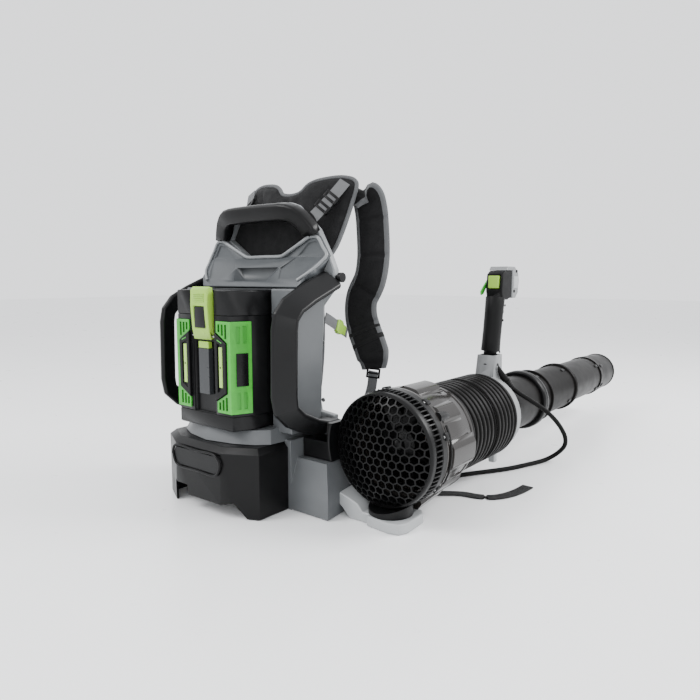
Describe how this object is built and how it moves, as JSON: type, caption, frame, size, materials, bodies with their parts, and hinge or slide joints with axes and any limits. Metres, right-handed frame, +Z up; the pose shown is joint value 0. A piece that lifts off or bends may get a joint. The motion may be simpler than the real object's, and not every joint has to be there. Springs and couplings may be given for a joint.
{
  "type": "backpack leaf blower",
  "caption": "Backpack leaf blower: battery frame with padded harness, hip-mounted fan, ribbed flexible hose, sectioned tube and a clamped control handle with a trigger.",
  "frame": {"origin": "on the ground, under the middle of the pack's base plate", "axes": "+Z up, +Y the way the wearer faces and the tube points, +X the wearer's right, where the fan is"},
  "size_m": [0.651, 1.3216, 0.6336],
  "materials": {
    "shell_grey": "fine-textured moulded grey",
    "silver_plastic": "light silver-grey moulded",
    "black_plastic": "satin black moulded",
    "dark_plastic": "satin charcoal moulded",
    "smoke_plastic": "polished smoke grey",
    "tube_plastic": "satin dark grey moulded tube",
    "green_plastic": "bright green moulded",
    "lime_plastic": "lime moulded",
    "black_rubber": "matte rubber",
    "steel": "turned steel",
    "copper": "wound copper",
    "cell_foil": "wrapped cells",
    "pad_fabric": "black spacer mesh over foam",
    "grey_webbing": "woven grey webbing",
    "black_webbing": "woven black webbing"
  },
  "bodies": {
    "pack": {"chassis": "shell_grey", "base_cowl": "black_plastic", "badge_plate": "dark_plastic", "upper_housing": "shell_grey", "carry_handle": "black_plastic", "back_shell": "silver_plastic", "guard_bar_right": "dark_plastic", "guard_bar_left": "dark_plastic", "blower_bracket": "dark_plastic", "hook_peg": "dark_plastic", "controller_box": "cell_foil", "terminal_block": "copper", "bay_rail_right": "black_plastic", "bay_rail_left": "black_plastic", "foot_arm": "silver_plastic", "blower_foot": "silver_plastic", "fan_collar": "black_plastic", "intake_grille": "black_plastic", "intake_ring": "black_plastic", "fan_housing": "smoke_plastic", "fan_gasket": "black_rubber", "stator_hub": "black_plastic", "motor": "copper", "back_pad": "pad_fabric", "shoulder_yoke": "pad_fabric", "shoulder_strap_right": "pad_fabric", "shoulder_strap_left": "pad_fabric", "lower_strap_right": "grey_webbing", "lower_strap_left": "grey_webbing", "lifter_strap_right": "grey_webbing", "lifter_strap_left": "grey_webbing", "side_strap": "grey_webbing", "waist_strap": "black_webbing"},
    "battery": {"battery_case": "dark_plastic", "cell_pack": "cell_foil", "side_panel_right": "green_plastic", "side_panel_left": "green_plastic", "light_bracket_right": "black_plastic", "light_bracket_left": "black_plastic", "latch_pin": "steel", "charge_gauge": "lime_plastic", "channel_strip": "dark_plastic"},
    "latch": {"battery_latch": "lime_plastic"},
    "fan": {"motor_shaft": "steel", "impeller": "black_plastic"},
    "flex": {"bellows": "black_rubber", "control_cable": "black_rubber"},
    "tube": {"rear_tube": "tube_plastic"},
    "lock": {"lock_ring": "black_plastic"},
    "extension": {"mid_tube": "tube_plastic", "front_tube": "tube_plastic"},
    "outlet": {"nozzle": "tube_plastic"},
    "handle": {"handle_clamp": "silver_plastic", "clamp_screw": "steel", "grip": "dark_plastic", "head_cap": "silver_plastic", "cable_gland": "black_rubber"},
    "trigger": {"trigger": "black_plastic"},
    "boost": {"boost_button": "lime_plastic"},
    "cruise": {"cruise_lever": "green_plastic"}
  },
  "joints": [
    {"name": "battery_slide", "type": "slide", "parent": "pack", "child": "battery", "axis": [0, 0, 1], "range_m": [0, 0.255]},
    {"name": "latch_pull", "type": "hinge", "parent": "battery", "child": "latch", "pos_m": [0, -0.114, 0.318], "axis": [1, 0, 0], "range_deg": [0, 12], "stiffness_Nm_per_rad": 0.4, "springref_deg": -5.73},
    {"name": "fan_spin", "type": "hinge", "parent": "pack", "child": "fan", "pos_m": [0.3, 0.085, 0.13], "axis": [0, 1, 0], "continuous": true},
    {"name": "tube_yaw", "type": "hinge", "parent": "pack", "child": "flex", "pos_m": [0.3, 0.274, 0.13], "axis": [0, 0, 1], "range_deg": [-8, 8], "deforming": ["bellows", "control_cable"]},
    {"name": "tube_pitch", "type": "hinge", "parent": "flex", "child": "tube", "pos_m": [0.3, 0.274, 0.13], "axis": [1, 0, 0], "range_deg": [-4, 8], "deforming": ["bellows", "control_cable"]},
    {"name": "lock_twist", "type": "hinge", "parent": "tube", "child": "lock", "pos_m": [0.3, 0.584, 0.13], "axis": [0, 1, 0], "range_deg": [0, 30]},
    {"name": "tube_extend", "type": "slide", "parent": "tube", "child": "extension", "axis": [0, 1, 0], "range_m": [0, 0.05]},
    {"name": "nozzle_twist", "type": "hinge", "parent": "extension", "child": "outlet", "pos_m": [0.3, 1.05, 0.13], "axis": [0, 1, 0], "range_deg": [0, 40]},
    {"name": "handle_roll", "type": "hinge", "parent": "tube", "child": "handle", "pos_m": [0.3, 0.395, 0.13], "axis": [0, 1, 0], "range_deg": [-10, 10]},
    {"name": "trigger_pull", "type": "hinge", "parent": "handle", "child": "trigger", "pos_m": [0.3, 0.468, 0.389], "axis": [1, 0, 0], "range_deg": [-14, 0], "stiffness_Nm_per_rad": 0.05, "springref_deg": 17.19},
    {"name": "boost_press", "type": "slide", "parent": "handle", "child": "boost", "axis": [0, 1, 0], "range_m": [0, 0.003], "stiffness_N_per_m": 300, "springref_m": -0.002},
    {"name": "cruise_set", "type": "hinge", "parent": "handle", "child": "cruise", "pos_m": [0.28, 0.452, 0.412], "axis": [1, 0, 0], "range_deg": [-40, 10]}
  ]
}
